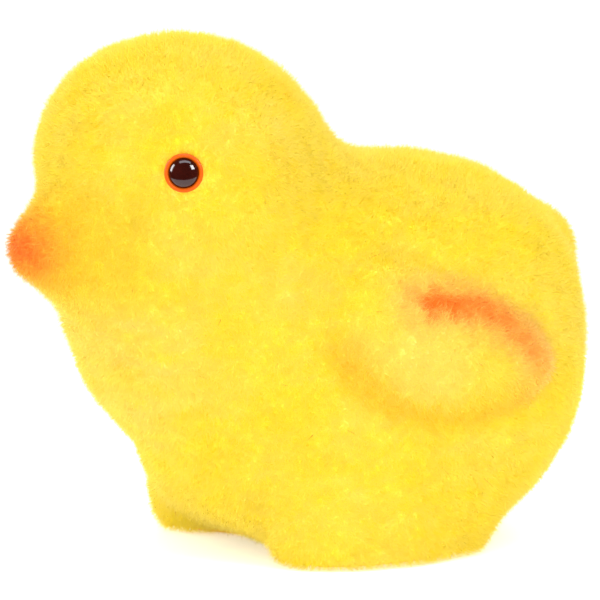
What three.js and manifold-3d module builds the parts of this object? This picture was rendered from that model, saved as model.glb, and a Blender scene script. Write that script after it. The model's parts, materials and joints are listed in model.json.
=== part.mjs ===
// Wind-up hopping chick: a flocked two-part shell round a clockwork gearbox that kicks a pair of feet.
// Millimetres. The chick faces -Y, +X is its own left, Z is up, and the floor is z = 0.
import * as THREE from "three";
import { mergeVertices } from "three/addons/utils/BufferGeometryUtils.js";
import Module from "manifold-3d";

const wasm = await Module();
wasm.setup();

// ---- driving dimensions ----
const FORM = {
  body: { c: [0, 9.96, 23.29], r: [25.01, 27.66, 25.5] },
  chest: { c: [0, -14.19, 38.8], r: [15.51, 19.16, 25.8] },
  back: { c: [0, 20.75, 32.82], r: [19.46, 12.92, 11.94] },
  head: { c: [0, -19.9, 51.25], r: [18.6, 14.78, 14.78] },
  tail: { c: [0, 35.06, 35.79], r: [4.71, 3.14, 3.14] },
  beak: { a: [0, -28, 42], b: [0, -37.67, 41.65], ra: 10, rb: 4.03 },
  belly: { c: [0, -3.07, 14.86], h: [13.16, 14.41, 9.98], round: 8.05 },
  lobe: { c: [14.61, 2.69, 5.69], r: [7.6, 14.97, 10.5] },
  wing: { c: [21.8, 8.35, 27.8], r: [4.6, 14.1, 7.9], turn: 8, tilt: -13.5, roll: 9 },
};
const CORE = [0, 1, 30]; // every point of the skin can be seen from here
const SHELL_FLOOR = 0.7; // underside of the shell above the floor
const SHELL_WALL = 1.7;
const SEAM = 0.15; // half the gap between the two halves of the shell
const OUTER_RINGS = 34;
const OUTER_MERIDIANS = 52;
const INNER_RINGS = 16;
const INNER_MERIDIANS = 24;

const PLATE_INSET = 2.1;
const OPENING_INSET = 1.75;
const PLATE_THICKNESS = 1.6;

const WHEEL = [9, 15]; // y, z of the winding axis
const SECOND = [-2.68, 19.45]; // y, z of the second arbor
const CRANK = [-3.5, 9.5]; // y, z of the crank axis
const AXLE = [12.3, 3.6]; // y, z of the foot axle
const MODULE = 0.5;
const GREAT_TEETH = 40;
const SECOND_PINION_TEETH = 10;
const SECOND_TEETH = 32;
const CRANK_PINION_TEETH = 8;
const RATCHET_TEETH = 12;
const CRANK_THROW = 1.8;
const CRANK_PIN_RADIUS = 0.8;
const HOP_DEGREES = 6;
const GEARBOX_IN = 8.9; // inner face of each gearbox plate
const GEARBOX_OUT = 10.1;
const PILLARS = [
  [21.5, 21],
  [2, 29.5],
  [-13.6, 20.6],
  [20.5, 7.2],
];
const SPRING_TURNS = 5;
const SPRING_IN = 2.0;
const SPRING_OUT = 8.5;
const SPRING_STRIP = 0.45;

const EYE = [16.19, -27.09, 52.86]; // a point on the skin at the middle of the eye
const EYE_RIM_RADIUS = 2.5;
const PUPIL_RADIUS = 1.95;
const KNOB_RADIUS = 5.5;
const KNOB_FACE = -26.9;

// ---- the skin, as a distance-like function ----
const rad = (d) => (d * Math.PI) / 180;
const smin = (a, b, k) => {
  const h = Math.max(k - Math.abs(a - b), 0) / k;
  return Math.min(a, b) - h * h * k * 0.25;
};
const ell = (x, y, z, c, r) => {
  const dx = x - c[0],
    dy = y - c[1],
    dz = z - c[2];
  const k0 = Math.hypot(dx / r[0], dy / r[1], dz / r[2]);
  const k1 = Math.hypot(dx / r[0] ** 2, dy / r[1] ** 2, dz / r[2] ** 2);
  return (k0 * (k0 - 1)) / Math.max(k1, 1e-9);
};
// the hull of a ball of radius ra at a and one of radius rb at b
const cone = (x, y, z, { a, b, ra, rb }) => {
  const ba = [b[0] - a[0], b[1] - a[1], b[2] - a[2]];
  const pa = [x - a[0], y - a[1], z - a[2]];
  const l2 = ba[0] ** 2 + ba[1] ** 2 + ba[2] ** 2;
  const dr = ra - rb;
  const a2 = l2 - dr * dr;
  const h = pa[0] * ba[0] + pa[1] * ba[1] + pa[2] * ba[2];
  const g = h - l2;
  const x2 =
    (pa[0] * l2 - h * ba[0]) ** 2 + (pa[1] * l2 - h * ba[1]) ** 2 + (pa[2] * l2 - h * ba[2]) ** 2;
  const k = Math.sign(dr) * dr * dr * x2;
  if (Math.sign(g) * a2 * g * g * l2 > k) return Math.sqrt(x2 + g * g * l2) / l2 - rb;
  if (Math.sign(h) * a2 * h * h * l2 < k) return Math.sqrt(x2 + h * h * l2) / l2 - ra;
  return (Math.sqrt((x2 * a2) / l2) + h * dr) / l2 - ra;
};
const block = (x, y, z, { c, h, round }) => {
  const dx = Math.abs(x - c[0]) - h[0] + round,
    dy = Math.abs(y - c[1]) - h[1] + round,
    dz = Math.abs(z - c[2]) - h[2] + round;
  return (
    Math.hypot(Math.max(dx, 0), Math.max(dy, 0), Math.max(dz, 0)) +
    Math.min(Math.max(dx, dy, dz), 0) -
    round
  );
};
const WT = [Math.cos(rad(FORM.wing.turn)), Math.sin(rad(FORM.wing.turn))];
const WL = [Math.cos(rad(FORM.wing.tilt)), Math.sin(rad(FORM.wing.tilt))];
const WR = [Math.cos(rad(FORM.wing.roll)), Math.sin(rad(FORM.wing.roll))];
const wing = (x, y, z) => {
  const { c, r } = FORM.wing;
  const dx = x - c[0],
    dy = y - c[1],
    dz = z - c[2];
  const u = dy * WL[0] + dz * WL[1]; // along the wing, rising towards the tip
  const v0 = -dy * WL[1] + dz * WL[0];
  const n0 = dx * WT[0] - u * WT[1];
  const v = v0 * WR[0] - n0 * WR[1];
  const n = n0 * WR[0] + v0 * WR[1]; // the top edge lies closer to the body
  const t = u * WT[0] + dx * WT[1];
  const taper = 1 - 0.28 * (t / r[1]); // narrower at the tip
  return ell(n, t, v, [0, 0, 0], [r[0], r[1], r[2] * Math.max(0.4, taper)]);
};
function skin(x0, y, z) {
  const x = Math.abs(x0);
  let s = smin(ell(x, y, z, FORM.body.c, FORM.body.r), ell(x, y, z, FORM.chest.c, FORM.chest.r), 8);
  s = smin(s, ell(x, y, z, FORM.back.c, FORM.back.r), 6);
  s = smin(s, ell(x, y, z, FORM.head.c, FORM.head.r), 5);
  s = smin(s, ell(x, y, z, FORM.tail.c, FORM.tail.r), 5);
  s = smin(s, cone(x, y, z, FORM.beak), 2.5);
  s = smin(s, ell(x, y, z, FORM.lobe.c, FORM.lobe.r), 5.86);
  s = smin(s, block(x, y, z, FORM.belly), 6.35);
  return s;
}
const winged = (x, y, z) => smin(skin(x, y, z), wing(Math.abs(x), y, z), 2);

// ---- helpers ----
const V = (x, y, z) => new THREE.Vector3(x, y, z);
function toSolid(geometry) {
  const g = geometry.index ? geometry.toNonIndexed() : geometry.clone();
  const bare = new THREE.BufferGeometry().setAttribute("position", g.getAttribute("position"));
  const m = mergeVertices(bare, 1e-4);
  return new wasm.Manifold(
    new wasm.Mesh({
      numProp: 3,
      vertProperties: new Float32Array(m.attributes.position.array),
      triVerts: new Uint32Array(m.index.array),
    }),
  );
}
function toGeometry(solid) {
  const m = solid.getMesh();
  const g = new THREE.BufferGeometry();
  const p = new Float32Array(m.numVert * 3);
  for (let i = 0; i < m.numVert; i++)
    for (let k = 0; k < 3; k++) p[3 * i + k] = m.vertProperties[i * m.numProp + k];
  g.setAttribute("position", new THREE.BufferAttribute(p, 3));
  g.setIndex(new THREE.BufferAttribute(new Uint32Array(m.triVerts), 1));
  return g;
}
const box = (x0, x1, y0, y1, z0, z1) => {
  const g = new THREE.BoxGeometry(x1 - x0, y1 - y0, z1 - z0);
  g.translate((x0 + x1) / 2, (y0 + y1) / 2, (z0 + z1) / 2);
  return toSolid(g);
};
const cylX = (r, x0, x1, [y, z], seg = 20, r1 = r) => {
  const g = new THREE.CylinderGeometry(r1, r, x1 - x0, seg);
  g.rotateZ(-Math.PI / 2);
  g.translate((x0 + x1) / 2, y, z);
  return toSolid(g);
};
const cylZ = (r, z0, z1, x, y, seg = 20) => {
  const g = new THREE.CylinderGeometry(r, r, z1 - z0, seg);
  g.rotateX(Math.PI / 2);
  g.translate(x, y, (z0 + z1) / 2);
  return toSolid(g);
};
const shapeOf = (points, holes = []) => {
  const s = new THREE.Shape(points.map((p) => new THREE.Vector2(p[0], p[1])));
  for (const h of holes) s.holes.push(new THREE.Path(h.map((p) => new THREE.Vector2(p[0], p[1]))));
  return s;
};
// A profile in (y, z) carried along X.
const plateX = (points, x0, x1, holes = []) => {
  const g = new THREE.ExtrudeGeometry(shapeOf(points, holes), { depth: x1 - x0, bevelEnabled: false });
  g.applyMatrix4(new THREE.Matrix4().set(0, 0, 1, x0, 1, 0, 0, 0, 0, 1, 0, 0, 0, 0, 0, 1));
  return toSolid(g);
};
const plateZ = (points, z0, z1, holes = []) => {
  const g = new THREE.ExtrudeGeometry(shapeOf(points, holes), { depth: z1 - z0, bevelEnabled: false });
  g.translate(0, 0, z0);
  return toSolid(g);
};
const ring = (r, [a, b], seg = 20) =>
  Array.from({ length: seg }, (_, i) => [
    a + r * Math.cos((2 * Math.PI * i) / seg),
    b + r * Math.sin((2 * Math.PI * i) / seg),
  ]);
const gearOutline = (teeth, phase, [y, z]) => {
  const rp = (MODULE * teeth) / 2,
    ra = rp + 0.42,
    rf = rp - 0.6;
  const wide = 0.5 / rp,
    narrow = 0.24 / ra,
    root = 0.72 / Math.max(rf, 1);
  const pts = [];
  for (let i = 0; i < teeth; i++) {
    const m = phase + (2 * Math.PI * i) / teeth;
    const half = Math.min(root / 2 + 0.02, (Math.PI / teeth) * 0.72);
    for (const [r, a] of [
      [rf, -half],
      [ra, -Math.max(narrow, wide * 0.35)],
      [ra, Math.max(narrow, wide * 0.35)],
      [rf, half],
    ])
      pts.push([y + r * Math.cos(m + a), z + r * Math.sin(m + a)]);
  }
  return pts;
};
// A turned solid: profile of (radius, height) from the axis round to the axis, put on a point and a direction.
const turned = (profile, at, dir, seg = 24) => {
  const g = new THREE.LatheGeometry(profile.map((p) => new THREE.Vector2(p[0], p[1])), seg);
  const q = new THREE.Quaternion().setFromUnitVectors(V(0, 1, 0), dir.clone().normalize());
  g.applyQuaternion(q);
  g.translate(at.x, at.y, at.z);
  return toSolid(g);
};

const group = new THREE.Group();
const PLASTIC = {
  flock: 0xffe232,
  orange: 0xf07818,
  black: 0x1c1210,
  white: 0xf2efe6,
  cream: 0xe9dfc4,
  brass: 0xc9a64a,
  steel: 0x9aa0a6,
};
function put(name, solid, colour) {
  const g = toGeometry(solid);
  g.computeVertexNormals();
  const m = new THREE.Mesh(g.toNonIndexed(), new THREE.MeshStandardMaterial({ color: colour, flatShading: true }));
  m.name = name;
  group.add(m);
}

// ---- shell ----
const POLE = V(0, FORM.beak.b[1] - CORE[1], FORM.beak.b[2] - CORE[2]).normalize();
const SIDE = V(1, 0, 0);
const UPPER = new THREE.Vector3().crossVectors(POLE, SIDE).normalize();
function reach(fn, dir, level) {
  let r = 2;
  while (r < 80 && fn(CORE[0] + r * dir.x, CORE[1] + r * dir.y, CORE[2] + r * dir.z) < level) r += 0.5;
  let lo = r - 0.5,
    hi = r;
  for (let i = 0; i < 24; i++) {
    const m = (lo + hi) / 2;
    if (fn(CORE[0] + m * dir.x, CORE[1] + m * dir.y, CORE[2] + m * dir.z) < level) lo = m;
    else hi = m;
  }
  return (lo + hi) / 2;
}
function balloon(fn, level, rings, meridians) {
  const pos = [];
  const push = (d) => {
    const r = reach(fn, d, level);
    pos.push(CORE[0] + r * d.x, CORE[1] + r * d.y, CORE[2] + r * d.z);
  };
  push(POLE);
  for (let i = 1; i < rings; i++) {
    // rings crowd towards the beak and the tail, where the form is small
    const s = i / rings;
    const t = Math.PI * (s - (0.5 * Math.sin(2 * Math.PI * s)) / (2 * Math.PI));
    for (let j = 0; j < meridians; j++) {
      const a = (2 * Math.PI * j) / meridians;
      const d = POLE.clone()
        .multiplyScalar(Math.cos(t))
        .addScaledVector(UPPER, Math.sin(t) * Math.cos(a))
        .addScaledVector(SIDE, Math.sin(t) * Math.sin(a));
      push(d);
    }
  }
  push(POLE.clone().negate());
  const last = pos.length / 3 - 1;
  const at = (i, j) => 1 + (i - 1) * meridians + (j % meridians);
  const tri = [];
  for (let j = 0; j < meridians; j++) {
    tri.push(0, at(1, j), at(1, j + 1));
    tri.push(last, at(rings - 1, j + 1), at(rings - 1, j));
    for (let i = 1; i < rings - 1; i++) {
      tri.push(at(i, j), at(i + 1, j), at(i + 1, j + 1));
      tri.push(at(i, j), at(i + 1, j + 1), at(i, j + 1));
    }
  }
  let s = new wasm.Manifold(
    new wasm.Mesh({ numProp: 3, vertProperties: new Float32Array(pos), triVerts: new Uint32Array(tri) }),
  );
  if (s.volume() < 0) {
    for (let i = 0; i < tri.length; i += 3) [tri[i + 1], tri[i + 2]] = [tri[i + 2], tri[i + 1]];
    s = new wasm.Manifold(
      new wasm.Mesh({ numProp: 3, vertProperties: new Float32Array(pos), triVerts: new Uint32Array(tri) }),
    );
  }
  return s;
}
const outer = balloon(winged, 0, OUTER_RINGS, OUTER_MERIDIANS).intersect(box(-40, 40, -60, 60, SHELL_FLOOR, 90));
const cavity = balloon(skin, -SHELL_WALL, INNER_RINGS, INNER_MERIDIANS).intersect(
  box(-40, 40, -60, 60, SHELL_FLOOR + 1.3, 90),
);

// Outline of the underside, drawn in towards its middle by a given distance.
const footprint = (inset) => {
  const n = 52;
  const r = Array.from({ length: n }, (_, i) => {
    const a = (2 * Math.PI * (i + 0.5)) / n;
    let d = 1;
    while (d < 40 && skin(d * Math.cos(a), 6 + d * Math.sin(a), SHELL_FLOOR) < 0) d += 0.05;
    return d;
  });
  return r.map((_, i) => {
    const a = (2 * Math.PI * (i + 0.5)) / n;
    const d = Math.min(r[(i + n - 1) % n], r[i] , r[(i + 1) % n]) * 0.5 + r[i] * 0.5 - inset;
    return [d * Math.cos(a), 6 + d * Math.sin(a)];
  });
};
const opening = plateZ(footprint(OPENING_INSET), -1, SHELL_FLOOR + 3);

const eyeDir = (side) => {
  const e = 0.05;
  const p = [side * EYE[0], EYE[1], EYE[2]];
  return V(
    skin(p[0] + e, p[1], p[2]) - skin(p[0] - e, p[1], p[2]),
    skin(p[0], p[1] + e, p[2]) - skin(p[0], p[1] - e, p[2]),
    skin(p[0], p[1], p[2] + e) - skin(p[0], p[1], p[2] - e),
  ).normalize();
};
const eyeAt = (side) => V(side * EYE[0], EYE[1], EYE[2]);
const stemHole = (side) =>
  turned([[0, -5], [0.95, -5], [0.95, 3], [0, 3]], eyeAt(side), eyeDir(side), 16);

const boss = (side) => {
  const x0 = side > 0 ? 1.2 : -5.2;
  return box(x0, x0 + 4, 16.3, 26.2, 1.9, 5.0).subtract(cylZ(0.65, 1.0, 4.4, side * 3.2, 18.2, 12));
};
const eyeRest = (side) =>
  turned([[0, -3.0], [2.2, -3.0], [2.2, -0.9], [0, -0.9]], eyeAt(side), eyeDir(side), 20);
for (const side of [1, -1]) {
  const half = side > 0 ? box(SEAM, 60, -60, 60, -5, 90) : box(-60, -SEAM, -60, 60, -5, 90);
  // the pocket clears the lower rear corners of the gearbox
  let s = outer.subtract(cavity).subtract(opening).subtract(box(-11.5, 11.5, 10, 18.6, 1.9, 5.6));
  s = s.add(boss(side).intersect(outer)).add(eyeRest(side)).subtract(stemHole(side));
  if (side < 0) s = s.subtract(cylX(1.75, -40, -15, WHEEL, 20));
  s = s.intersect(half);
  // keep the one large body, not slivers left by the facets
  const parts = s.decompose().sort((a, b) => b.volume() - a.volume());
  put(side > 0 ? "body_shell_left" : "body_shell_right", parts[0], PLASTIC.flock);
}

// ---- base plate ----
const slot = (side) => {
  const x = side > 0 ? [10.2, 15.8] : [-15.8, -10.2];
  return box(x[0], x[1], -4.0, 13.6, -1, 3);
};
{
  let b = plateZ(footprint(PLATE_INSET), 0, PLATE_THICKNESS);
  b = b.subtract(slot(1)).subtract(slot(-1));
  b = b.add(box(-8.6, 8.6, 0.0, 3.6, 1.2, 5.4)); // front lug, between the gearbox plates
  b = b.add(box(-3.5, 3.5, -4.8, 0.6, 4.1, 5.3)); // tongue over the front edge of the shell
  for (const side of [1, -1]) {
    // rear lugs, stepped clear of the rim of the shell
    const s = (u, v) => (side > 0 ? [u, v] : [-v, -u]);
    b = b.add(box(...s(5.6, 7.1), 14.7, 16.6, 1.2, 4.8)).add(box(...s(5.6, 8.6), 14.7, 16.9, 2.1, 4.8));
  }
  for (const side of [1, -1]) {
    b = b.subtract(cylZ(0.8, -1, 3, side * 3.2, 18.2, 14));
    b = b.subtract(cylZ(1.75, -1, 0.9, side * 3.2, 18.2, 18));
    const reachIn = side > 0 ? [3.6, 9] : [-9, -3.6];
    b = b.subtract(cylX(0.6, reachIn[0], reachIn[1], [1.8, 3.5], 12));
    b = b.subtract(cylX(0.6, side > 0 ? 5.2 : -9, side > 0 ? 9 : -5.2, [15.9, 3.5], 12));
  }
  put("base_plate", b, PLASTIC.orange);
}

// Screws: a domed head and a plain shank, along dir from the underside of the head.
const screw = (at, dir, length, head = 1.4, shank = 0.5) =>
  turned(
    [[0, -length], [shank, -length], [shank, 0], [head, 0], [head, 0.35], [head * 0.6, 0.75], [0, 0.8]],
    at,
    dir,
    10,
  );
put("base_screw_left", screw(V(3.2, 18.2, 0.85), V(0, 0, -1), 3.2, 1.45), PLASTIC.steel);
put("base_screw_right", screw(V(-3.2, 18.2, 0.85), V(0, 0, -1), 3.2, 1.45), PLASTIC.steel);

// ---- gearbox frame ----
const plateOutline = [
  [-0.2, 1.9],
  [3.6, 1.9],
  [10, 1.9],
  [17.0, 1.9],
  [18.2, 3.6],
  [19.6, 5.2],
  [23.0, 7.6],
  [24.3, 21.5],
  [21.5, 24],
  [14, 27],
  [4.5, 31.9],
  [0, 32.2],
  [-6, 27],
  [-13.4, 23.2],
  [-15.6, 21.2],
  [-14.9, 18.6],
  [-9.4, 10.6],
  [-5.8, 6.2],
];
const AXES = [WHEEL, SECOND, CRANK, AXLE];
for (const side of [1, -1]) {
  const x0 = side > 0 ? GEARBOX_IN : -GEARBOX_OUT;
  const x1 = side > 0 ? GEARBOX_OUT : -GEARBOX_IN;
  let p = plateX(plateOutline, x0, x1);
  for (const a of [SECOND, CRANK, AXLE]) p = p.subtract(cylX(1.2, x0 - 1, x1 + 1, a, 16));
  p = p.subtract(cylX(1.45, x0 - 1, x1 + 1, WHEEL, 16));
  for (const a of PILLARS) p = p.subtract(cylX(side > 0 ? 1.05 : 0.7, x0 - 1, x1 + 1, a, 14));
  for (const a of [[1.8, 3.5], [15.9, 3.5]]) p = p.subtract(cylX(0.7, x0 - 1, x1 + 1, a, 12));
  if (side > 0) p = p.subtract(cylX(0.95, x0 - 1, x1 + 1, [WHEEL[0] + 7.2, WHEEL[1] + 7.2], 14));
  // a lightening window between the wheels
  p = p.subtract(cylX(2.6, x0 - 1, x1 + 1, [13.5, 9.2], 18));
  put(side > 0 ? "gearbox_plate_left" : "gearbox_plate_right", p, PLASTIC.cream);
}
PILLARS.forEach((a, i) => {
  const p = cylX(1.5, -GEARBOX_IN + 0.1, GEARBOX_IN - 0.1, a, 16)
    .add(cylX(0.9, GEARBOX_IN - 0.3, GEARBOX_OUT + 0.25, a, 14))
    .subtract(cylX(0.6, -GEARBOX_IN - 1, -3.4, a, 12));
  put(`pillar_${i + 1}`, p, PLASTIC.brass);
  put(`gearbox_screw_${i + 1}`, screw(V(-GEARBOX_OUT - 0.05, a[0], a[1]), V(-1, 0, 0), 5.4, 1.5), PLASTIC.steel);
});
[
  [1, [1.8, 3.5], 5.0],
  [-1, [1.8, 3.5], 5.0],
  [1, [15.9, 3.5], 3.0],
  [-1, [15.9, 3.5], 3.0],
].forEach(([side, a, l], i) =>
  put(
    `mount_screw_${i + 1}`,
    screw(V(side * (GEARBOX_OUT + 0.05), a[0], a[1]), V(side, 0, 0), l, 1.25),
    PLASTIC.steel,
  ),
);

// ---- winding train ----
const angleTo = ([y0, z0], [y1, z1]) => Math.atan2(z1 - z0, y1 - y0);
const aWS = angleTo(WHEEL, SECOND);
const aSK = angleTo(SECOND, CRANK);
const stepG = (2 * Math.PI) / GREAT_TEETH;
put(
  "winding_arbor",
  cylX(1.2, -27.6, 9.6, WHEEL, 18).add(cylX(1.35, -24, -21, WHEEL, 18)),
  PLASTIC.steel,
);
{
  // lathe knob with finger flutes and a blind socket for the arbor
  const k = [[0, -1.6], [2.5, -1.6], [2.8, 0], [3.4, 0.8], [KNOB_RADIUS - 0.7, 1.2], [KNOB_RADIUS, 1.9], [KNOB_RADIUS, 4.4], [KNOB_RADIUS - 0.8, 5.1], [0, 5.1]];
  let knob = turned(k, V(KNOB_FACE + 0.7, WHEEL[0], WHEEL[1]), V(-1, 0, 0), 32);
  for (let i = 0; i < 10; i++) {
    const a = (2 * Math.PI * i) / 10;
    const c = [WHEEL[0] + (KNOB_RADIUS + 0.55) * Math.cos(a), WHEEL[1] + (KNOB_RADIUS + 0.55) * Math.sin(a)];
    knob = knob.subtract(cylX(1.0, KNOB_FACE - 6, KNOB_FACE + 1, c, 8));
  }
  knob = knob.subtract(cylX(1.3, -28.0, -20, WHEEL, 18));
  put("winding_knob", knob, PLASTIC.white);
}
{
  let g = plateX(gearOutline(GREAT_TEETH, aWS, WHEEL), -7.2, -5.4);
  g = g.subtract(cylX(1.3, -8, -5, WHEEL, 18));
  for (let i = 0; i < 5; i++) {
    const a = aWS + (2 * Math.PI * (i + 0.5)) / 5;
    g = g.subtract(cylX(1.7, -8, -5, [WHEEL[0] + 6.6 * Math.cos(a), WHEEL[1] + 6.6 * Math.sin(a)], 10));
  }
  put("great_wheel", g, PLASTIC.brass);
}
{
  const pts = [];
  for (let i = 0; i < RATCHET_TEETH; i++) {
    const a = (2 * Math.PI * i) / RATCHET_TEETH;
    pts.push([WHEEL[0] + 3.4 * Math.cos(a), WHEEL[1] + 3.4 * Math.sin(a)]);
    pts.push([WHEEL[0] + 2.6 * Math.cos(a + 0.06), WHEEL[1] + 2.6 * Math.sin(a + 0.06)]);
  }
  put("ratchet_wheel", plateX(pts, -4.9, -3.9).subtract(cylX(1.3, -6, -3, WHEEL, 18)), PLASTIC.steel);
  // the click: an arm that rides on the ratchet, with its stud in the great wheel's web
  const c = (a, r) => [WHEEL[0] + r * Math.cos(a), WHEEL[1] + r * Math.sin(a)];
  const p = [c(0.02, 3.7), c(0.1, 3.55), c(0.5, 4.1), c(0.95, 4.4), c(1.12, 4.9), c(1.02, 5.5), c(0.72, 5.3), c(0.35, 4.7)];
  put("click_pawl", plateX(p, -4.9, -4.0), PLASTIC.steel);
}
{
  // mainspring: a flat strip coiled round the arbor, clear of it, with its outer end at the post
  const n = SPRING_TURNS * 16;
  const inner = [],
    outerSide = [];
  const end = Math.PI / 4;
  for (let i = 0; i <= n; i++) {
    const t = i / n;
    const a = end - SPRING_TURNS * 2 * Math.PI * (1 - t);
    const r = SPRING_IN + (SPRING_OUT - SPRING_IN) * t;
    inner.push([WHEEL[0] + (r - SPRING_STRIP / 2) * Math.cos(a), WHEEL[1] + (r - SPRING_STRIP / 2) * Math.sin(a)]);
    outerSide.push([WHEEL[0] + (r + SPRING_STRIP / 2) * Math.cos(a), WHEEL[1] + (r + SPRING_STRIP / 2) * Math.sin(a)]);
  }
  put("mainspring", plateX([...outerSide, ...inner.reverse()], -2.8, 1.8), PLASTIC.steel);
  put("spring_post", cylX(0.85, -3.4, GEARBOX_OUT + 0.25, [WHEEL[0] + 7.2, WHEEL[1] + 7.2], 14), PLASTIC.brass);
}
put("second_arbor", cylX(0.95, -9.9, 9.9, SECOND, 16), PLASTIC.steel);
{
  const bore = (x0, x1, r = 1.05) => cylX(r, x0, x1, SECOND, 16);
  put(
    "second_pinion",
    plateX(gearOutline(SECOND_PINION_TEETH, aWS + Math.PI + Math.PI / SECOND_PINION_TEETH, SECOND), -7.6, -5.0).subtract(bore(-9, -4)),
    PLASTIC.brass,
  );
  let g = plateX(gearOutline(SECOND_TEETH, aSK, SECOND), 3.2, 4.8).subtract(bore(2, 6));
  for (let i = 0; i < 4; i++) {
    const a = aSK + (2 * Math.PI * (i + 0.5)) / 4;
    g = g.subtract(cylX(1.7, 2, 6, [SECOND[0] + 4.7 * Math.cos(a), SECOND[1] + 4.7 * Math.sin(a)], 10));
  }
  put("second_wheel", g, PLASTIC.white);
}
put("crank_arbor", cylX(0.95, -11.7, 11.7, CRANK, 16), PLASTIC.steel);
put(
  "crank_pinion",
  plateX(gearOutline(CRANK_PINION_TEETH, aSK + Math.PI + Math.PI / CRANK_PINION_TEETH, CRANK), 2.6, 5.4).subtract(
    cylX(1.02, 2, 6, CRANK, 16),
  ),
  PLASTIC.brass,
);
for (const side of [1, -1]) {
  const s = (a, b) => (side > 0 ? [a, b] : [-b, -a]);
  const [a0, a1] = s(10.5, 11.9);
  const pinAt = [CRANK[0], CRANK[1] - CRANK_THROW];
  const [p0, p1] = s(11.5, 14.5);
  const [h0, h1] = s(10.3, 11.85);
  const arm = cylX(3.1, a0, a1, CRANK, 24)
    .add(cylX(CRANK_PIN_RADIUS, p0, p1, pinAt, 14))
    .subtract(cylX(1.05, h0, h1, CRANK, 16));
  put(side > 0 ? "crank_arm_left" : "crank_arm_right", arm, PLASTIC.cream);
}

// ---- feet ----
const lift = rad(HOP_DEGREES);
const rel = [CRANK[0] - AXLE[0], CRANK[1] - AXLE[1]];
const raised = [
  AXLE[0] + rel[0] * Math.cos(lift) + rel[1] * Math.sin(lift),
  AXLE[1] - rel[0] * Math.sin(lift) + rel[1] * Math.cos(lift),
];
const windowRadius = CRANK_THROW + CRANK_PIN_RADIUS + 0.45;
const windowOutline = () => {
  const a = angleTo(CRANK, raised);
  const pts = [];
  for (let i = 0; i <= 10; i++) {
    const t = a + Math.PI / 2 + (Math.PI * i) / 10;
    pts.push([CRANK[0] + windowRadius * Math.cos(t), CRANK[1] + windowRadius * Math.sin(t)]);
  }
  for (let i = 0; i <= 10; i++) {
    const t = a - Math.PI / 2 + (Math.PI * i) / 10;
    pts.push([raised[0] + windowRadius * Math.cos(t), raised[1] + windowRadius * Math.sin(t)]);
  }
  return pts;
};
for (const side of [1, -1]) {
  const s = (a, b) => (side > 0 ? [a, b] : [-b, -a]);
  const [u0, u1] = s(12.6, 14.1);
  const upright = plateX(
    [
      [-3.6, 0.6],
      [12.0, 0.6],
      [12.2, 2.0],
      [13.6, 2.4],
      [14.1, 3.9],
      [13.3, 5.2],
      [2.4, 14.2],
      [-0.6, 16.0],
      [-4.4, 15.4],
      [-7.4, 12.6],
      [-7.9, 9.2],
      [-6.5, 6.0],
      [-4.4, 4.6],
      [-3.6, 4.2],
    ],
    u0,
    u1,
  )
    .subtract(plateX(windowOutline(), u0 - 1, u1 + 1))
    .subtract(cylX(1.0, u0 - 1, u1 + 1, AXLE, 16));
  // the sole: three toes in front, one round heel
  const cx = side * 13;
  const sole = [
    [cx - 2.5, 0.2],
    [cx - 2.45, -2.6],
    [cx - 1.9, -3.3],
    [cx - 1.3, -2.6],
    [cx - 1.0, -1.5],
    [cx - 0.75, -2.9],
    [cx, -3.7],
    [cx + 0.75, -2.9],
    [cx + 1.0, -1.5],
    [cx + 1.3, -2.6],
    [cx + 1.9, -3.3],
    [cx + 2.45, -2.6],
    [cx + 2.5, 0.2],
    [cx + 2.2, 11.4],
    [cx + 1.5, 12.6],
    [cx, 13.1],
    [cx - 1.5, 12.6],
    [cx - 2.2, 11.4],
  ];
  const foot = plateZ(sole, 0, 1.5).add(upright.intersect(box(-40, 40, -40, 40, 0.6, 60)));
  put(side > 0 ? "foot_left" : "foot_right", foot, PLASTIC.orange);
}
put("foot_axle", cylX(0.9, -14.4, 14.4, AXLE, 16), PLASTIC.steel);

// ---- eyes ----
for (const side of [1, -1]) {
  const tag = side > 0 ? "left" : "right";
  const at = eyeAt(side),
    dir = eyeDir(side);
  const R = EYE_RIM_RADIUS;
  put(
    `eye_button_${tag}`,
    turned(
      [[0, -4.6], [0.7, -4.6], [0.7, 0.25], [R - 0.3, 0.25], [R, 0.55], [R - 0.05, 0.95], [R - 0.35, 1.2], [2.05, 1.0], [2.05, 0.7], [0, 0.7]],
      at,
      dir,
      20,
    ),
    PLASTIC.orange,
  );
  const dome = [[0, 0.72], [PUPIL_RADIUS, 0.72], [PUPIL_RADIUS, 1.05]];
  for (const t of [22, 44, 66]) dome.push([PUPIL_RADIUS * Math.cos(rad(t)), 1.05 + 1.15 * Math.sin(rad(t))]);
  dome.push([0, 2.2]);
  put(`eye_pupil_${tag}`, turned(dome, at, dir, 20), PLASTIC.black);
  put(
    `eye_washer_${tag}`,
    turned([[0.8, -4.4], [1.8, -4.4], [1.8, -3.65], [0.8, -3.65], [0.8, -4.4]], at, dir, 18),
    PLASTIC.steel,
  );
}

export default group;
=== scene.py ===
"""Looks for the wind-up hopping chick: flocked shell, glass-like eyes, moulded and metal works, and the stage."""

import json
import math

import bpy
import numpy as np
from mathutils import Matrix, Vector


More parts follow.
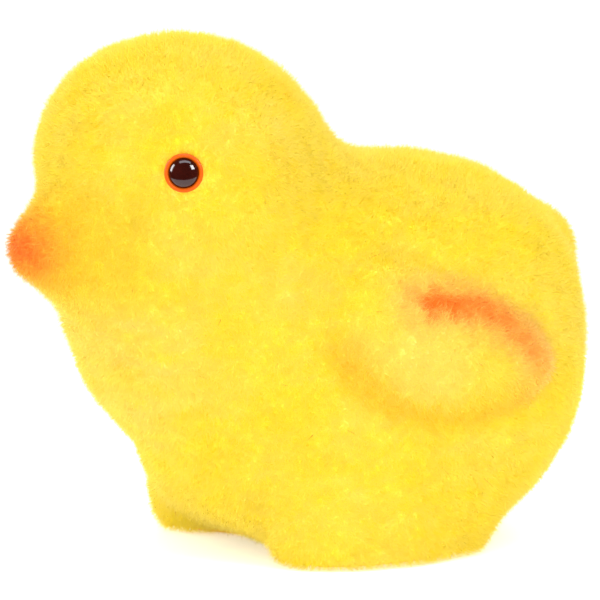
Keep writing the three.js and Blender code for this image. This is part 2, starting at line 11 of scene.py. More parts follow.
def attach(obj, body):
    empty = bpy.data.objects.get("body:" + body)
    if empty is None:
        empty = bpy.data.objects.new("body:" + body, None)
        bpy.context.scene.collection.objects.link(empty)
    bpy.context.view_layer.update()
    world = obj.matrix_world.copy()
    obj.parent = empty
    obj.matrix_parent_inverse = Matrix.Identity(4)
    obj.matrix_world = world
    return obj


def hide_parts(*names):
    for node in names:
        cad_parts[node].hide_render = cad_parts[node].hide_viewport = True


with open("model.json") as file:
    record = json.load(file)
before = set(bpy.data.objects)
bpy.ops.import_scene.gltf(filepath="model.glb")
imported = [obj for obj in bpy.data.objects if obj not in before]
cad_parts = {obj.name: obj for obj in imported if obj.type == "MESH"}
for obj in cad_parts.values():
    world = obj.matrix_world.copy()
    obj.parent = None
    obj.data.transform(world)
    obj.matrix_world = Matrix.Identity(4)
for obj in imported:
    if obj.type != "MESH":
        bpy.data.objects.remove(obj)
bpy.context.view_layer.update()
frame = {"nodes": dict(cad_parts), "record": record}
NODES = frame["nodes"]
MM = 0.001
rng = np.random.default_rng(20)

# ---------------------------------------------------------------- the form of the chick, in mm
FORM = dict(
    body=((0, 9.96, 23.29), (25.01, 27.66, 25.5)),
    chest=((0, -14.19, 38.8), (15.51, 19.16, 25.8)),
    back=((0, 20.75, 32.82), (19.46, 12.92, 11.94)),
    head=((0, -19.9, 51.25), (18.6, 14.78, 14.78)),
    tail=((0, 35.2, 35.9), (4.9, 3.45, 3.4)),
    lobe=((14.61, 2.69, 5.69), (7.6, 14.97, 10.5)),
)
BEAK = ((0, -28.0, 42.0), (0, -37.67, 41.65), 10.0, 4.03)
BELLY = ((0, -3.07, 14.86), (13.16, 14.41, 9.98), 8.05)  # middle, half sizes, rounding
WING = dict(c=(21.8, 8.35, 27.8), r=(4.6, 14.1, 7.9), turn=8.0, tilt=-13.5, roll=9.0)
CORE = np.array([0.0, 1.0, 30.0])
SHELL_FLOOR = 0.7
EYE = np.array([16.19, -27.09, 52.86])
FLOCK = 1.15  # how far the flock stands off the shell


def ell(p, c, r):
    d = p - np.asarray(c, float)
    r = np.asarray(r, float)
    k0 = np.sqrt(((d / r) ** 2).sum(-1))
    k1 = np.sqrt(((d / r**2) ** 2).sum(-1))
    return k0 * (k0 - 1) / np.maximum(k1, 1e-9)


def smin(a, b, k):
    h = np.maximum(k - np.abs(a - b), 0) / k
    return np.minimum(a, b) - h * h * k * 0.25


def step(a, b, x):
    t = np.clip((x - a) / (b - a), 0, 1)
    return t * t * (3 - 2 * t)


def cone(p, a, b, ra, rb):
    """A round cone: the hull of a ball of radius ra at a and one of radius rb at b."""
    a = np.asarray(a, float)
    ba = np.asarray(b, float) - a
    l2 = ba @ ba
    dr = ra - rb
    a2 = l2 - dr * dr
    y = (p - a) @ ba
    z = y - l2
    x2 = (((p - a) * l2 - y[..., None] * ba) ** 2).sum(-1)
    k = np.sign(dr) * dr * dr * x2
    at_b = np.sign(z) * a2 * z * z * l2 > k
    at_a = np.sign(y) * a2 * y * y * l2 < k
    end_b = np.sqrt(x2 + z * z * l2) / l2 - rb
    end_a = np.sqrt(x2 + y * y * l2) / l2 - ra
    flank = (np.sqrt(np.maximum(x2 * a2 / l2, 0)) + y * dr) / l2 - ra
    return np.where(at_b, end_b, np.where(at_a, end_a, flank))


def block(p, c, h, r):
    """A block of half sizes h with its edges rounded to r."""
    d = np.abs(p - np.asarray(c, float)) - (np.asarray(h, float) - r)
    return np.linalg.norm(np.maximum(d, 0), axis=-1) + np.minimum(d.max(-1), 0) - r


def wing_frame(q):
    """Along the wing towards its tip, across it upwards, and out from the body."""
    a, b = math.radians(WING["turn"]), math.radians(WING["tilt"])
    d = q - np.asarray(WING["c"])
    u = d[..., 1] * math.cos(b) + d[..., 2] * math.sin(b)
    v = -d[..., 1] * math.sin(b) + d[..., 2] * math.cos(b)
    n = d[..., 0] * math.cos(a) - u * math.sin(a)
    t = u * math.cos(a) + d[..., 0] * math.sin(a)
    c = math.radians(WING["roll"])
    return t, v * math.cos(c) - n * math.sin(c), n * math.cos(c) + v * math.sin(c)


def wing(q):
    t, v, n = wing_frame(q)
    r = WING["r"]
    rv = r[2] * np.maximum(0.4, 1 - 0.28 * (t / r[1]))
    k0 = np.sqrt((n / r[0]) ** 2 + (t / r[1]) ** 2 + (v / rv) ** 2)
    k1 = np.sqrt((n / r[0] ** 2) ** 2 + (t / r[1] ** 2) ** 2 + (v / rv**2) ** 2)
    return k0 * (k0 - 1) / np.maximum(k1, 1e-9)


def plain(p):
    q = p.copy()
    q[..., 0] = np.abs(q[..., 0])
    F = FORM
    s = smin(ell(p, *F["body"]), ell(p, *F["chest"]), 8.0)
    s = smin(s, ell(p, *F["back"]), 6.0)
    s = smin(s, ell(p, *F["head"]), 5.0)
    s = smin(s, ell(p, *F["tail"]), 5.0)
    s = smin(s, cone(p, *BEAK), 2.5)
    s = smin(s, ell(q, *F["lobe"]), 5.86)
    s = smin(s, block(p, *BELLY), 6.35)
    return s, q


def skin(p):
    s, q = plain(p)
    t, v, n = wing_frame(q)
    # the wing grows out of the side at its front, and stands clear at its tip
    return smin(s, wing(q), 2.0 + 4.0 * step(-5, -13, t) * step(-4, 3, v))


def slope(p, fn=skin, e=0.05):
    g = np.empty_like(p)
    for i in range(3):
        o = np.zeros(3)
        o[i] = e
        g[..., i] = fn(p + o) - fn(p - o)
    return g / np.maximum(np.linalg.norm(g, axis=-1, keepdims=True), 1e-12)


def waves(p, length, seed, count=14):
    """Smooth noise: a sum of sines with wavelengths near the one given."""
    r = np.random.default_rng(seed)
    k = r.normal(size=(count, 3))
    k *= (2 * math.pi / length) * r.uniform(0.6, 1.5, (count, 1)) / np.linalg.norm(k, axis=1, keepdims=True)
    ph = r.uniform(0, 2 * math.pi, count)
    out = np.zeros(p.shape[:-1])
    for i in range(count):
        out += np.sin(p @ k[i] + ph[i])
    return out / math.sqrt(count / 2)


# ---------------------------------------------------------------- colours of the flock, linear
def lin(h):
    c = np.array([int(h[i : i + 2], 16) / 255 for i in (0, 2, 4)])
    return np.where(c <= 0.04045, c / 12.92, ((c + 0.055) / 1.055) ** 2.4)


def dye(h):
    """The colour of single fibres whose pile, with light scattered between them, looks like h."""
    r = lin(h) / np.array([1.03, 1.13, 1.75])
    return r / (0.4 + 0.6 * r)


YELLOW, PALE, DEEP, AMBER = dye("FFE930"), dye("FFEA68"), dye("FFE326"), dye("FFC41E")
PEACH, ORANGE, RED, CORE_RED = dye("FFC466"), dye("FFA030"), dye("FF8438"), dye("FF6E24")
BROWN = dye("B0702A")
# the peach given to the fibre ends is painted sheen
CREAM, TIP_SHEEN = dye("FFE474"), dye("FFCB8C")
# the sprayed beak: how the colour changes with the distance from its tip
BEAK_AT = np.array([1.5, 3.0, 4.2, 5.8, 7.2, 9.2, 11.3, 13.5, 17.0])
BEAK_DYE = np.array([dye(h) for h in (
    "FF7632", "FF8E33", "FF9F31", "FFB130", "FFC42E", "FFD332", "FFDA38", "FFDD3A", "FFE439",
)])
# the sprayed streak, along and across the wing, and how red it is at each point
STREAK = np.array([
    (-6.6, 5.0, 0.5), (-5.2, 4.8, 1.0), (-2.7, 4.9, 1.0), (-0.4, 5.4, 0.85), (2.2, 5.6, 0.8),
    (4.8, 4.9, 0.75), (7.4, 3.5, 0.65), (10.1, 1.7, 0.5), (12.2, 0.2, 0.35),
])
TICKS = np.array([
    ((0.5, 4.6, 0.6), (1.1, 2.6, 0.55), (1.4, 1.2, 0.2)),
    ((3.4, 4.6, 0.4), (4.0, 3.0, 0.4), (4.4, 1.9, 0.1)),
    ((5.8, 4.0, 0.55), (6.5, 2.2, 0.45), (7.0, 0.8, 0.1)),
    ((8.4, 2.7, 0.5), (9.0, 1.3, 0.4), (9.4, 0.0, 0.1)),
    ((10.4, 1.2, 0.45), (10.9, 0.2, 0.35), (11.2, -0.8, 0.1)),
])
# painted shade: where the amber darkening lies along the crease under and round the wing, and how strong it is
CREASE_SHADE = np.array([
    (-14.6, 0.4, 0.1), (-14.4, -2.2, 0.6), (-13.0, -4.4, 0.85), (-11.0, -6.4, 1.0), (-8.5, -8.0, 0.95),
    (-5.0, -8.9, 0.9), (-0.7, -9.0, 0.85), (3.5, -8.2, 0.8), (7.2, -6.6, 0.75), (10.0, -4.9, 0.65), (12.5, -2.9, 0.3),
])


def mix(a, b, t):
    return a + (b - a) * t[..., None]


def along_line(line, t, v):
    """Distance to a line of (t, v, weight) points, and the weight at the nearest point of it."""
    best = np.full(t.shape, 1e9)
    weight = np.zeros(t.shape)
    for a, b in zip(line[:-1], line[1:]):
        ab = b[:2] - a[:2]
        h = np.clip(((t - a[0]) * ab[0] + (v - a[1]) * ab[1]) / (ab @ ab), 0, 1)
        d = np.hypot(t - a[0] - h * ab[0], v - a[1] - h * ab[1])
        near = d < best
        weight = np.where(near, a[2] + h * (b[2] - a[2]), weight)
        best = np.minimum(best, d)
    return best, weight


def flock_colour(p):
    """Base colour of the flock at each point of the skin."""
    q = p.copy()
    q[..., 0] = np.abs(q[..., 0])
    c = np.broadcast_to(YELLOW, p.shape).copy()
    n1 = waves(p, 12.0, 3)
    n2 = waves(p, 3.4, 4)
    n3 = waves(p, 1.7, 9)
    c = mix(c, PALE, np.clip(0.3 + 0.12 * n1 + 0.10 * n2 + 0.10 * n3, 0, 1))
    c = mix(c, DEEP, np.clip(-0.06 - 0.12 * n1 + 0.10 * n2 - 0.10 * n3, 0, 1) * 0.7)
    # sprayed beak: red-orange tip running out to yellow on the face and under the chin
    up = p[..., 2] - 42.2
    far = np.sqrt(0.9 * p[..., 0] ** 2 + (p[..., 1] + 42) ** 2 + (up * np.where(up > 0, 1.3 + 0.12 * np.maximum(up - 2, 0), 1.12)) ** 2)
    far = np.maximum(far + 0.35 * waves(p, 5.0, 5) + 0.2 * waves(p, 1.5, 6), 0)
    spray = np.stack([np.interp(far, BEAK_AT, BEAK_DYE[:, i]) for i in range(3)], -1)
    w = step(21, 13, far)
    c = c + (spray - c) * w[..., None]
    # paler down the breast
    c = mix(c, CREAM, step(-19, -27, p[..., 1]) * step(39, 31, p[..., 2]) * np.clip(0.6 + 0.12 * n2, 0, 1))
    # wing: a red-orange streak on its upper edge, strokes below it, a painted peach highlight on the edge of its tip,
    # and painted amber shade in the crease round it
    t, v, n = wing_frame(q)
    side = step(12, 17, q[..., 0])
    rough = 0.35 * waves(p, 2.6, 7) + 0.25 * waves(p, 1.0, 8)
    d, w = along_line(STREAK, t, v)
    d = np.maximum(d + rough, 0)
    c = mix(c, CREAM, side * step(1.6, -0.2, wing(q)) * step(9, -2, t) * 0.85)
    # painted highlight: a peach band round the edge of the wing's tip, where it stands clear of the body
    tip = side * step(5.0, 12.0, t) * step(2.4, 0.4, np.abs(wing(q) - 0.2))
    c = mix(c, PEACH, tip * 0.7)
    fan = side * step(1.0, 4.5, t) * step(-1.8, 2.0, v + 0.25 * (t - 7)) * step(2.0, 0.5, wing(q))
    c = mix(c, PEACH, fan * np.clip(0.6 + 0.25 * waves(p, 1.3, 10), 0, 1))
    c = mix(c, PEACH, side * np.exp(-((d / 3.0) ** 2)) * np.minimum(0.5 + w, 1) * 0.75)
    c = mix(c, RED, side * np.exp(-((d / 1.7) ** 2)) * np.minimum(w, 1) * 0.9)
    c = mix(c, CORE_RED, side * np.exp(-((d / 1.0) ** 2)) * step(0.6, 1.1, w))
    for tick in TICKS:
        d, w = along_line(tick, t, v)
        c = mix(c, RED, side * np.exp(-(((d + 0.4 * rough) / 0.6) ** 2)) * w)
    # painted shade: amber darkening along the crease round the wing
    d, w = along_line(CREASE_SHADE, t, v)
    c = mix(c, AMBER, side * np.exp(-(((d + rough) / 2.0) ** 2)) * w * 0.85)
    # a little of the same spray behind the head and on the tail
    d = np.linalg.norm(p - np.array([8.9, -7.4, 61.0]), axis=-1)
    c = mix(c, AMBER, np.exp(-(((d + rough) / 1.5) ** 2)) * 0.55)
    d = np.linalg.norm(q - np.array([0, 37.5, 35.8]), axis=-1)
    c = mix(c, PEACH, np.exp(-((d / 4.0) ** 2)) * 0.35)
    return c


# ---------------------------------------------------------------- materials
def nodes_of(name):
    m = bpy.data.materials.new(name)
    m.use_nodes = True
    nt = m.node_tree
    return m, nt, nt.nodes["Principled BSDF"]


def material(name, base, rough=0.5, metal=0.0, coat=0.0, scale=300.0, vary=0.06, bump=0.05, grain=None, sheen=0.0, ior=None):
    """Moulded plastic or metal: two close tones, a roughness that wanders, and a fine bump."""
    m, nt, b = nodes_of(name)
    N, L = nt.nodes, nt.links
    co = N.new("ShaderNodeTexCoord")
    mp = N.new("ShaderNodeMapping")
    if grain:
        mp.inputs["Scale"].default_value = grain
    L.new(co.outputs["Object"], mp.inputs["Vector"])
    t = N.new("ShaderNodeTexNoise")
    t.inputs["Scale"].default_value = scale
    t.inputs["Detail"].default_value = 5
    L.new(mp.outputs[0], t.inputs["Vector"])
    r = N.new("ShaderNodeValToRGB")
    base = np.asarray(base, float)
    r.color_ramp.elements[0].color = (*(base * (1 - vary)), 1)
    r.color_ramp.elements[1].color = (*np.minimum(base * (1 + vary), 1), 1)
    r.color_ramp.elements[0].position, r.color_ramp.elements[1].position = 0.3, 0.7
    L.new(t.outputs["Fac"], r.inputs["Fac"])
    L.new(r.outputs["Color"], b.inputs["Base Color"])
    mr = N.new("ShaderNodeMapRange")
    mr.inputs["To Min"].default_value, mr.inputs["To Max"].default_value = max(0.02, rough - 0.07), rough + 0.07
    L.new(t.outputs["Fac"], mr.inputs["Value"])
    L.new(mr.outputs[0], b.inputs["Roughness"])
    t2 = N.new("ShaderNodeTexNoise")
    t2.inputs["Scale"].default_value = scale * 4
    L.new(mp.outputs[0], t2.inputs["Vector"])
    bp = N.new("ShaderNodeBump")
    bp.inputs["Strength"].default_value = bump
    bp.inputs["Distance"].default_value = 0.0002
    L.new(t2.outputs["Fac"], bp.inputs["Height"])
    L.new(bp.outputs[0], b.inputs["Normal"])
    b.inputs["Metallic"].default_value = metal
    b.inputs["Coat Weight"].default_value = coat
    b.inputs["Coat Roughness"].default_value = 0.05
    b.inputs["Sheen Weight"].default_value = sheen
    if ior:
        b.inputs["IOR"].default_value = ior
    return m


def attribute_flock(name, rough=0.85, bump=0.0, through=0.0):
    m, nt, b = nodes_of(name)
    N, L = nt.nodes, nt.links
    a = N.new("ShaderNodeAttribute")
    a.attribute_name = "tone"
    L.new(a.outputs["Color"], b.inputs["Base Color"])
    b.inputs["Roughness"].default_value = rough
    b.inputs["Specular IOR Level"].default_value = 0.05
    b.inputs["Sheen Weight"].default_value = 0.3
    b.inputs["Sheen Roughness"].default_value = 0.4
    b.inputs["Sheen Tint"].default_value = (1, 0.86, 0.74, 1)
    if bump:
        co = N.new("ShaderNodeTexCoord")
        t = N.new("ShaderNodeTexNoise")
        t.inputs["Scale"].default_value = 2600
        t.inputs["Detail"].default_value = 4
        L.new(co.outputs["Object"], t.inputs["Vector"])
        bp = N.new("ShaderNodeBump")
        bp.inputs["Strength"].default_value = bump
        bp.inputs["Distance"].default_value = 0.0004
        L.new(t.outputs["Fac"], bp.inputs["Height"])
        L.new(bp.outputs[0], b.inputs["Normal"])
    if through:
        # nylon fibres let light through, so a blade glows from behind as much as from in front
        tr = N.new("ShaderNodeBsdfTranslucent")
        L.new(a.outputs["Color"], tr.inputs["Color"])
        mx = N.new("ShaderNodeMixShader")
        mx.inputs["Fac"].default_value = through
        L.new(b.outputs[0], mx.inputs[1])
        L.new(tr.outputs[0], mx.inputs[2])
        L.new(mx.outputs[0], N["Material Output"].inputs["Surface"])
    return m


# ---------------------------------------------------------------- mesh helpers
def new_object(name, verts_mm, faces, mats=(), smooth=True):
    me = bpy.data.meshes.new(name)
    v = np.asarray(verts_mm, np.float32) * MM
    f = np.asarray(faces, np.int32)
    me.vertices.add(len(v))
    me.vertices.foreach_set("co", v.ravel())
    me.loops.add(f.size)
    me.loops.foreach_set("vertex_index", f.ravel())
    me.polygons.add(len(f))
    me.polygons.foreach_set("loop_start", np.arange(0, f.size, f.shape[1], dtype=np.int32))
    me.update(calc_edges=True)
    if smooth:
        me.polygons.foreach_set("use_smooth", np.ones(len(f), bool))
    for m in mats:
        me.materials.append(m)
    o = bpy.data.objects.new(name, me)
    bpy.context.scene.collection.objects.link(o)
    return o


def vertex_tone(me, colours):
    a = me.color_attributes.new("tone", "FLOAT_COLOR", "POINT")
    rgba = np.ones((len(me.vertices), 4), np.float32)
    rgba[:, :3] = colours
    a.data.foreach_set("color", rgba.ravel())


def reach(dirs, level=0.0):
    lo = np.full(len(dirs), 2.0)
    hi = np.full(len(dirs), 2.0)
    live = np.ones(len(dirs), bool)
    r = 2.0
    while live.any() and r < 70:
        i = np.where(live)[0]
        out = skin(CORE + dirs[i] * r) > level
        hi[i[out]] = r
        lo[i[out]] = r - 0.75
        live[i[out]] = False
        r += 0.75
    for _ in range(16):
        m = (lo + hi) / 2
        inside = skin(CORE + dirs * m[:, None]) < level
        lo = np.where(inside, m, lo)
        hi = np.where(inside, hi, m)
    return (lo + hi) / 2


POLE = np.array([0, BEAK[1][1] - CORE[1], BEAK[1][2] - CORE[2]])
POLE = POLE / np.linalg.norm(POLE)
SIDE = np.array([1.0, 0, 0])
UPPER = np.cross(POLE, SIDE)


def half_skin(side, rings, steps):
    """One half of the skin, from the seam round to the seam, cut flat at the shell's floor."""
    s = np.linspace(0, 1, rings + 1)
    th = np.pi * (s - 0.35 * np.sin(2 * np.pi * s) / (2 * np.pi))
    ph = np.linspace(0, np.pi, steps + 1)
    T, P = np.meshgrid(th, ph, indexing="ij")
    d = (
        np.cos(T)[..., None] * POLE
        + (np.sin(T) * np.cos(P))[..., None] * UPPER
        + (np.sin(T) * np.sin(P) * side)[..., None] * SIDE
    ).reshape(-1, 3)
    r = reach(d)
    floor = np.where(d[:, 2] < -1e-6, (SHELL_FLOOR - CORE[2]) / np.minimum(d[:, 2], -1e-6), 1e9)
    flat = floor < r
    p = CORE + d * np.minimum(r, floor)[:, None]
    lift = 0.24 * step(2.3, 3.6, np.linalg.norm(p - EYE * [side, 1, 1], axis=1))
    n = slope(p)
    out = n * [1, 1, 0] / np.maximum(np.hypot(n[:, 0], n[:, 1]), 1e-6)[:, None]
    splay = 1 - 0.9 * step(0.2, 0.75, -out[:, 1])  # the fronts of the lobes stay rounded
    rim = 0.45 * splay * (1 - step(0.7, 3.0, p[:, 2])) * step(-1.8, 0.0, skin(p))
    p += n * (lift + 0.08 * waves(p, 5.0, 11) + 0.02 * waves(p, 2.4, 12))[:, None] * (~flat)[:, None]
    p += out * (rim + 0.4 * splay * flat * step(-1.8, 0.0, skin(p)))[:, None]
    p[:, 2] = np.maximum(p[:, 2], SHELL_FLOOR)
    p[:, 0] = np.where(np.abs(d[:, 0]) < 1e-7, side * 0.03, p[:, 0])
    i = np.arange(rings)[:, None] * (steps + 1) + np.arange(steps)[None]
    f = np.stack([i, i + 1, i + steps + 2, i + steps + 1], -1).reshape(-1, 4)
    if side < 0:
        f = f[:, ::-1]
    f = f[:, ::-1]
    return p, f, flat


def outline():
    """The opening in the underside, as a radius about (0, 6) for each direction."""
    n = 52
    a = 2 * np.pi * (np.arange(n) + 0.5) / n
    r = np.ones(n)
    for _ in range(800):
        p = np.stack([r * np.cos(a), 6 + r * np.sin(a), np.full(n, SHELL_FLOOR)], -1)
        r = np.where((plain(p)[0] < 0) & (r < 40), r + 0.05, r)
    q = np.minimum(np.minimum(np.roll(r, 1), r), np.roll(r, -1)) * 0.5 + r * 0.5 - 1.75
    return a, q


OA, OR = outline()


def opening_radius(x, y):
    a = np.mod(np.arctan2(y - 6, x), 2 * np.pi)
    return np.interp(a, np.r_[OA - 2 * np.pi, OA, OA + 2 * np.pi], np.r_[OR, OR, OR])


# ---------------------------------------------------------------- flocked skin
flock_skin = attribute_flock("flock_ground", 0.9, 0.5)
flock_fibre = attribute_flock("flock_fibre", 0.8, through=0.5)


def flock_blades(name, side, p, f, count, length, width, seed):
    """Fibres as tapering blades that stand on the skin p, f and lean as the nap does."""
    r = np.random.default_rng(seed)
    tri = np.stack([f[:, [0, 1, 2]], f[:, [0, 2, 3]]], 1).reshape(-1, 3)
    A, B, C = p[tri[:, 0]], p[tri[:, 1]], p[tri[:, 2]]
    area = np.linalg.norm(np.cross(B - A, C - A), axis=1) / 2
    # only skin that shows: not the flat underside
    mid = (A + B + C) / 3
    area = np.where(mid[:, 2] <= SHELL_FLOOR + 0.02, 0, area)
    # even cover: one blade in every equal share of the area, taken in order round the skin
    share = np.cumsum(area) / area.sum()
    pick = np.minimum(np.searchsorted(share, (np.arange(count) + r.random(count)) / count), len(tri) - 1)
    u, v = r.random(count), r.random(count)
    sw = u + v > 1
    u[sw], v[sw] = 1 - u[sw], 1 - v[sw]
    root = A[pick] * (1 - u - v)[:, None] + B[pick] * u[:, None] + C[pick] * v[:, None]
    # bare where the eye sits and where the winding arbor comes out
    e = EYE * [side, 1, 1]
    keep = np.linalg.norm(root - e, axis=1) > 2.55
    if side < 0:
        keep &= np.hypot(root[:, 1] - 9, root[:, 2] - 15) > 2.7
    root = root[keep]
    k = len(root)
    n = slope(root)
    # the nap lies over in patches, mostly down and back, with strays
    flow = np.stack([waves(root, 11.0, 31 + i) for i in range(3)], -1) * 0.10
    flow += np.stack([waves(root, 2.6, 41 + i) for i in range(3)], -1) * 0.12
    flow += r.normal(size=(k, 3)) * 0.80
    flow += np.array([0, 0.15, -0.40])
    flow -= n * (flow * n).sum(1, keepdims=True)
    flow /= np.maximum(np.linalg.norm(flow, axis=1, keepdims=True), 1e-6)
    stray = r.random(k) < 0.16  # longer, finer fibres that stand up out of the pile
    tilt = np.radians(np.clip(r.normal(size=k) * 11 + np.where(stray, 38, 52), 12, 76))
    d = n * np.cos(tilt)[:, None] + flow * np.sin(tilt)[:, None]
    wdir = np.cross(d, n)
    wdir /= np.linalg.norm(wdir, axis=1, keepdims=True)
    turn = r.normal(size=k) * 0.25
    wdir = wdir * np.cos(turn)[:, None] + np.cross(d, wdir) * np.sin(turn)[:, None]
    face = np.cross(wdir, d)
    face *= np.sign((face * n).sum(1, keepdims=True) + 1e-9)
    ln = length * np.where(stray, r.uniform(0.8, 1.35, k), r.uniform(0.65, 1.18, k)) * (1 + 0.08 * waves(root, 5.0, 51))
    # shorter on the rim of the eye
    ln *= 0.4 + 0.6 * step(2.3, 4.6, np.linalg.norm(root - e, axis=1))
    wd = width * np.where(stray, r.uniform(0.35, 0.7, k), r.uniform(0.7, 1.4, k))
    base = root - n * 0.10
    tip = root + d * ln[:, None]
    verts = np.empty((k, 3, 3))
    verts[:, 0] = base - wdir * wd[:, None] / 2
    verts[:, 1] = base + wdir * wd[:, None] / 2
    verts[:, 2] = tip
    verts[..., 2] = np.maximum(verts[..., 2], 0.02)
    tone = flock_colour(root)
    bright = r.normal(size=k) * 0.01 + 0.005 * waves(root, 1.6, 61)
    warm = r.random(k)
    tone = tone * (1 + bright)[:, None]
    tone = mix(tone, DEEP, (warm > 0.92) * 0.15)
    tone = mix(tone, PALE, (warm < 0.12) * 0.2)
    tone = mix(tone, BROWN, (r.random(k) < 0.00035) * 0.9)
    tone = np.clip(tone, 0, 1)
    # painted sheen and shade: the ends of the fibres are paler and peach, which shows where the pile is seen edge on,
    # and the roots are a little deeper
    sheen_tips = mix(tone, TIP_SHEEN, 0.20 * np.clip((tone[:, 1] - 0.35) / 0.3, 0.2, 1))
    roots = mix(tone, DEEP, 0.12 * np.clip((tone[:, 1] - 0.5) / 0.2, 0, 1))
    col = np.stack([roots, roots, sheen_tips], 1)
    o = new_object(name, verts.reshape(-1, 3), np.arange(3 * k).reshape(-1, 3), [flock_fibre])
    vertex_tone(o.data, col.reshape(-1, 3))
    # each blade is lit as the nap under it is
    nn = n * 0.92 + face * 0.08 + r.normal(size=(k, 3)) * 0.03
    nn /= np.linalg.norm(nn, axis=1, keepdims=True)
    o.data.normals_split_custom_set_from_vertices(np.repeat(nn, 3, axis=0).astype(np.float32))
    uv = o.data.uv_layers.new(name="OFBake")
    a = np.arctan2(root[:, 2] - 28, root[:, 1] - 2) / (2 * np.pi) + 0.5
    b = np.clip(np.hypot(root[:, 1] - 2, root[:, 2] - 28) / 50, 0, 1)
    cu = 0.5 + 0.47 * b * np.cos(2 * np.pi * a)
    cv = 0.5 + 0.47 * b * np.sin(2 * np.pi * a)
    s = 0.0035
    uvs = np.stack([np.stack([cu - s, cv - s], -1), np.stack([cu + s, cv - s], -1), np.stack([cu, cv + s], -1)], 1)
    uv.data.foreach_set("uv", np.clip(uvs, 0.001, 0.999).astype(np.float32).ravel())
    return o


RINGS, STEPS = ((170, 120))
COUNT = 190000
for side, tag in ((1, "left"), (-1, "right")):
    p, f, flat = half_skin(side, RINGS, STEPS)
    mid = p[f].mean(1)
    hole = (mid[:, 2] < SHELL_FLOOR + 0.01) & (
        np.hypot(mid[:, 0], mid[:, 1] - 6) < opening_radius(mid[:, 0], mid[:, 1])
    )
    ff = f[~hole]
    # the vertices round the opening are moved onto its outline
    rim = np.intersect1d(ff, f[hole])
    off = p[rim, :2] - [0, 6]
    d = np.hypot(off[:, 0], off[:, 1])
    ratio = opening_radius(p[rim, 0], p[rim, 1]) / d
    near = np.abs(ratio - 1) * d < 1.3
    p[rim[near], :2] = [0, 6] + off[near] * ratio[near, None]
    shell = new_object(f"skin_{tag}", p, ff, [flock_skin])
    vertex_tone(shell.data, flock_colour(p) * [0.97, 0.87, 0.95])  # the pile shades its own roots
    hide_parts(f"body_shell_{tag}")
    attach(shell, "chassis")
    fib = flock_blades(f"flock_{tag}", side, p, f, COUNT, 1.55, 0.12, 100 + side)
    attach(fib, "chassis")


# ---------------------------------------------------------------- eyes
def lathe(profile, at, axis, seg, name, mats):
    """A turned piece from a closed-to-the-axis profile of (radius, height) in mm."""
    z = Vector(axis).normalized()
    x = z.orthogonal().normalized()
    y = z.cross(x)
    P = np.array(profile, float)
    a = np.linspace(0, 2 * np.pi, seg, endpoint=False)
    X, Y, Z = np.array(x), np.array(y), np.array(z)
    v = (
        np.asarray(at)
        + P[:, 0, None, None] * (np.cos(a)[None, :, None] * X + np.sin(a)[None, :, None] * Y)
        + P[:, 1, None, None] * Z
    ).reshape(-1, 3)
    i = np.arange(len(P) - 1)[:, None] * seg + np.arange(seg)[None]
    j = np.arange(len(P) - 1)[:, None] * seg + (np.arange(seg)[None] + 1) % seg
    f = np.stack([i, j, j + seg, i + seg], -1).reshape(-1, 4)
    return new_object(name, v, f, mats)


eye_orange = material("eye_orange", lin("CC5400"), 0.4, coat=0.08, scale=900, vary=0.08, bump=0.02)
eye_orange.node_tree.nodes["Principled BSDF"].inputs["Specular IOR Level"].default_value = 0.12
eye_black = material("eye_black", lin("2E0803"), 0.1, coat=0.8, scale=700, vary=0.3, bump=0.0)
eye_black.node_tree.nodes["Principled BSDF"].inputs["Specular IOR Level"].default_value = 0.1
eye_black.node_tree.nodes["Principled BSDF"].inputs["Coat Roughness"].default_value = 0.09
for side, tag in ((1, "left"), (-1, "right")):
    at = EYE * [side, 1, 1]
    axis = slope(at[None], lambda q: plain(q)[0])[0]
    at = at + axis * 0.15
    R = 2.5
    rim = [(0.001, -0.25), (R - 0.3, -0.25), (R - 0.1, 0.2)]
    rim += [(R - 0.30 + 0.30 * math.cos(t), 0.72 + 0.34 * math.sin(t)) for t in np.linspace(-0.9, math.pi * 0.93, 14)]
    rim += [(1.93, 0.66), (0.001, 0.60)]
    b = lathe(rim, at, axis, 64, f"eye_ring_{tag}", [eye_orange])
    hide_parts(f"eye_button_{tag}")
    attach(b, "chassis")
    dome = [(0.001, 0.60), (1.86, 0.62), (1.90, 0.75)]
    dome += [(1.90 * math.cos(t), 0.75 + 1.05 * math.sin(t)) for t in np.linspace(0.08, math.pi / 2 - 0.001, 22)]
    d = lathe(dome, at, axis, 64, f"eye_dome_{tag}", [eye_black])
    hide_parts(f"eye_pupil_{tag}")
    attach(d, "chassis")

# ---------------------------------------------------------------- the works and the trim
orange = material("orange_moulding", lin("F27A1A"), 0.42, scale=260, vary=0.05, bump=0.06)
white = material("white_moulding", lin("C9C5BA"), 0.3, coat=0.15, scale=240, vary=0.03, bump=0.04)
cream = material("acetal", lin("E8DEC6"), 0.45, scale=260, vary=0.04, bump=0.05)
brass = material("brass", lin("C8A24A"), 0.3, metal=1.0, scale=500, vary=0.1, bump=0.08)
steel = material("plated_steel", lin("A4A8AC"), 0.32, metal=1.0, scale=500, vary=0.08, bump=0.08, grain=(1, 6, 6))
spring = material("blued_spring", lin("6E7480"), 0.28, metal=1.0, scale=400, vary=0.12, bump=0.06, grain=(0.3, 4, 4))
LOOKS = {
    "orange_plastic": orange,
    "white_plastic": white,
    "cream_plastic": cream,
    "brass": brass,
    "steel": steel,
    "eye_orange": eye_orange,
    "eye_black": eye_black,
    "flocked_shell": flock_skin,
}
slots = {s["node"]: s["material_slot"] for s in frame["record"]["subparts"]}
for name, o in NODES.items():
    m = spring if name == "mainspring" else LOOKS[slots[name]]
    if not o.material_slots:
        o.data.materials.append(m)
    for s in o.material_slots:
        s.material = m
    if name.startswith(("foot_left", "foot_right", "base_plate", "winding_knob", "gearbox_plate", "crank_arm")):
        bv = o.modifiers.new("edge", "BEVEL")
        bv.width = 0.00022
        bv.segments = 2
        bv.limit_method = "ANGLE"
        bv.angle_limit = math.radians(32)

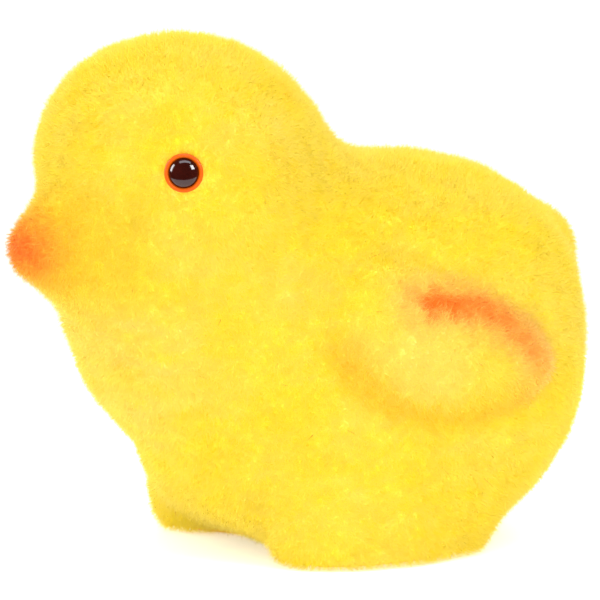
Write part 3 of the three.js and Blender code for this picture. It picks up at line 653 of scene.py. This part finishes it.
# ---------------------------------------------------------------- stage, light and camera
def table(name, radius, z, mat):
    n = 128
    ring = [(radius * math.cos(2 * math.pi * i / n), radius * math.sin(2 * math.pi * i / n), z) for i in range(n)]
    me = bpy.data.meshes.new(name)
    me.from_pydata(ring, [], [tuple(range(n))])
    me.materials.append(mat)
    o = bpy.data.objects.new(name, me)
    bpy.context.scene.collection.objects.link(o)
    return o


# a round table of white acrylic, lit a little from below
paper, nt, b = nodes_of("paper")
b.inputs["Base Color"].default_value = (0.95, 0.95, 0.95, 1)
b.inputs["Roughness"].default_value = 0.9
b.inputs["Emission Color"].default_value = (1, 1, 1, 1)
b.inputs["Emission Strength"].default_value = 0.38
table("floor", 0.135, -0.00005, paper)

AZ, EL = math.radians(58.66), math.radians(10.44)
right = Vector((math.cos(AZ), math.sin(AZ), 0))
back = Vector((math.sin(AZ) * math.cos(EL), -math.cos(AZ) * math.cos(EL), math.sin(EL)))
up = back.cross(right)
PX = 0.128 * MM
centre = right * ((300 - 300.58) * PX) + up * ((540.7 - 300) * PX)
cd = bpy.data.cameras.new("camera")
cam = bpy.data.objects.new("camera", cd)
bpy.context.scene.collection.objects.link(cam)
DIST = 3.2
cd.sensor_width = 36
cd.lens = 36 * DIST / (600 * PX)
cd.clip_start, cd.clip_end = 0.05, 60
cam.location = centre + back * DIST
cam.rotation_mode = "QUATERNION"
cam.rotation_quaternion = back.to_track_quat("Z", "Y")
bpy.context.scene.camera = cam


def softbox(name, loc, aim, size, power, colour=(1, 1, 1)):
    l = bpy.data.lights.new(name, "AREA")
    l.shape = "RECTANGLE"
    l.size, l.size_y = size
    l.energy = power
    l.color = colour
    o = bpy.data.objects.new(name, l)
    bpy.context.scene.collection.objects.link(o)
    o.location = loc
    o.rotation_mode = "QUATERNION"
    o.rotation_quaternion = (Vector(loc) - Vector(aim)).to_track_quat("Z", "Y")
    return o


mid = Vector((0, 0, 0.035))


def around(off, turn):
    """A direction tilted off the camera's own, towards the given angle round the picture."""
    o, t = math.radians(off), math.radians(turn)
    return back * math.cos(o) + (right * math.cos(t) + up * math.sin(t)) * math.sin(o)


softbox("key", mid + around(52, 34) * 0.6, mid, (0.22, 0.22), 0.7)
softbox("side", mid + around(88, 160) * 0.6, mid, (0.20, 0.26), 0.8)
softbox("top", mid + around(62, 92) * 0.7, mid, (0.50, 0.30), 1.3).visible_glossy = False
front = softbox("front", mid + around(10, 250) * 0.9, mid, (0.50, 0.36), 2.1)
front.visible_glossy = False
rear = softbox("rear", mid - back * 0.9 + Vector((0, 0, 0.45)), mid, (0.50, 0.40), 2.6)
rear.visible_glossy = False
# lamps that only what shines picks up, for the glints in the eyes
for glint in (
    softbox("glint_right", mid + around(50, 36) * 0.6, mid, (0.26, 0.24), 3.4),
    softbox("glint_left", mid + around(84, 158) * 0.6, mid, (0.30, 0.34), 3.6),
    softbox("glint_top", mid + around(64, 88) * 0.6, mid, (0.62, 0.26), 2.6, (0.86, 0.92, 1.0)),
):
    glint.visible_diffuse = False
    glint.visible_transmission = False
world = bpy.data.worlds.new("studio")
bpy.context.scene.world = world
world.use_nodes = True
nt = world.node_tree
even = nt.nodes["Background"]
even.inputs["Color"].default_value = (1, 1, 1, 1)
even.inputs["Strength"].default_value = 1.24
# what shines sees a dark room, as it would between separate softboxes
dark = nt.nodes.new("ShaderNodeBackground")
dark.inputs["Color"].default_value = (1, 0.97, 0.95, 1)
dark.inputs["Strength"].default_value = 0.06
ray = nt.nodes.new("ShaderNodeLightPath")
mx = nt.nodes.new("ShaderNodeMixShader")
nt.links.new(ray.outputs["Is Glossy Ray"], mx.inputs["Fac"])
nt.links.new(even.outputs[0], mx.inputs[1])
nt.links.new(dark.outputs[0], mx.inputs[2])
nt.links.new(mx.outputs[0], nt.nodes["World Output"].inputs["Surface"])
bpy.context.scene.view_settings.view_transform = "Standard"
